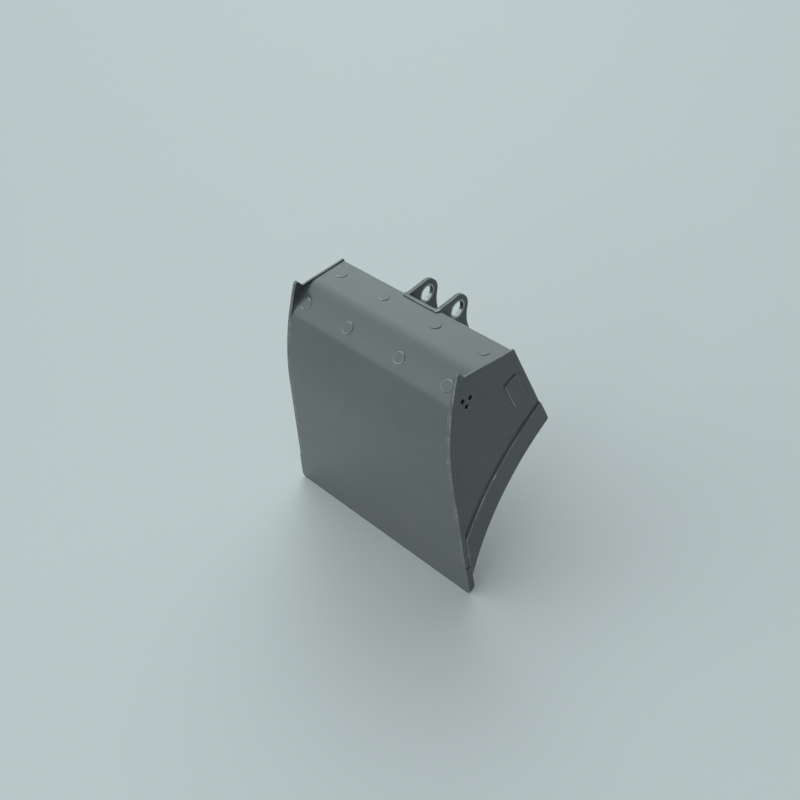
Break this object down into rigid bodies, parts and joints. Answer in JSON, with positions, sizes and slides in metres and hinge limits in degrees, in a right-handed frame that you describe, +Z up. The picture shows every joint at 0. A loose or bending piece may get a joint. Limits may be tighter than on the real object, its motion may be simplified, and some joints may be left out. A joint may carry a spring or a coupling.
{
  "type": "excavator bucket",
  "caption": "Welded steel excavator bucket with a plain straight cutting edge, curved back, tapered side plates with reinforcing strips and two pin ears.",
  "frame": {"origin": "middle of the hinge pin's axis, between the two ears", "axes": "+X along the pins to the right side plate, +Y from the curved back towards the open mouth, +Z up, with the cutting edge down and the top plate level"},
  "size_m": [1.1164, 0.6734, 1.2208],
  "materials": {
    "body_paint": "satin grey paint",
    "bush_steel": "machined steel"
  },
  "bodies": {
    "root": {"back_shell": "body_paint", "mount_plate": "body_paint", "torque_plate": "body_paint", "mouth_bar": "body_paint", "side_plate_left": "body_paint", "side_plate_right": "body_paint", "mouth_strip_left": "body_paint", "mouth_strip_right": "body_paint", "runner_left": "body_paint", "runner_right": "body_paint", "heel_guard_left": "body_paint", "heel_guard_right": "body_paint", "side_pad_left": "body_paint", "side_pad_right": "body_paint", "cutting_edge": "body_paint", "ear_left": "body_paint", "ear_right": "body_paint", "ear_tie_bar": "body_paint", "link_bush_left": "bush_steel", "link_bush_right": "bush_steel", "hinge_bush_left": "bush_steel", "hinge_bush_right": "bush_steel", "heel_buttons": "body_paint", "top_buttons": "body_paint"}
  },
  "joints": []
}
